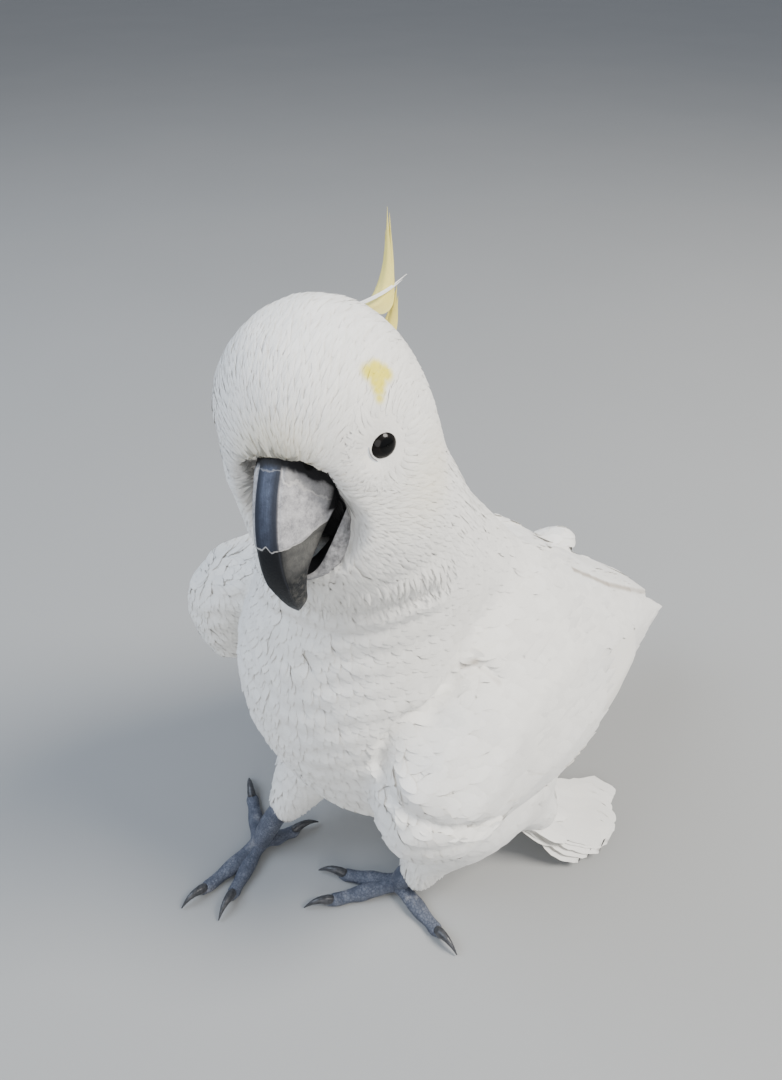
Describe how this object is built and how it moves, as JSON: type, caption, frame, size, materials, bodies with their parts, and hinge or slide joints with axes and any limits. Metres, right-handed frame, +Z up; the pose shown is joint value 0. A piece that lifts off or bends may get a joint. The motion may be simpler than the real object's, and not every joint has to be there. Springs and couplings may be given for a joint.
{
  "type": "sulphur-crested cockatoo",
  "caption": "Life-size standing white cockatoo with a folded yellow crest, hooked grey bill, wings held loosely at its sides and a short fanned tail resting on the floor.",
  "frame": {"origin": "middle of the bounding box at floor level, under the bird's belly", "axes": "+Z up, the beak end of the body towards -Y, the bird's left side towards +X"},
  "size_m": [0.1986, 0.3644, 0.3517],
  "materials": {
    "white_feathers": "matte",
    "yellow_feathers": "matte",
    "horn": "powdery satin",
    "dark_horn": "satin",
    "scaly_skin": "matte",
    "eye": "gloss"
  },
  "bodies": {
    "root": {"shin_left": "white_feathers", "shin_right": "white_feathers", "head": "white_feathers", "neck": "white_feathers", "trunk": "white_feathers", "tail": "white_feathers", "wing_left": "white_feathers", "wing_right": "white_feathers", "bill_upper": "horn", "bill_lower": "dark_horn", "eye_left": "eye", "eye_right": "eye", "crest": "yellow_feathers", "foot_left": "scaly_skin", "claw_inner_front_left": "dark_horn", "claw_outer_front_left": "dark_horn", "claw_inner_rear_left": "dark_horn", "claw_outer_rear_left": "dark_horn", "foot_right": "scaly_skin", "claw_inner_front_right": "dark_horn", "claw_outer_front_right": "dark_horn", "claw_inner_rear_right": "dark_horn", "claw_outer_rear_right": "dark_horn"}
  },
  "joints": []
}
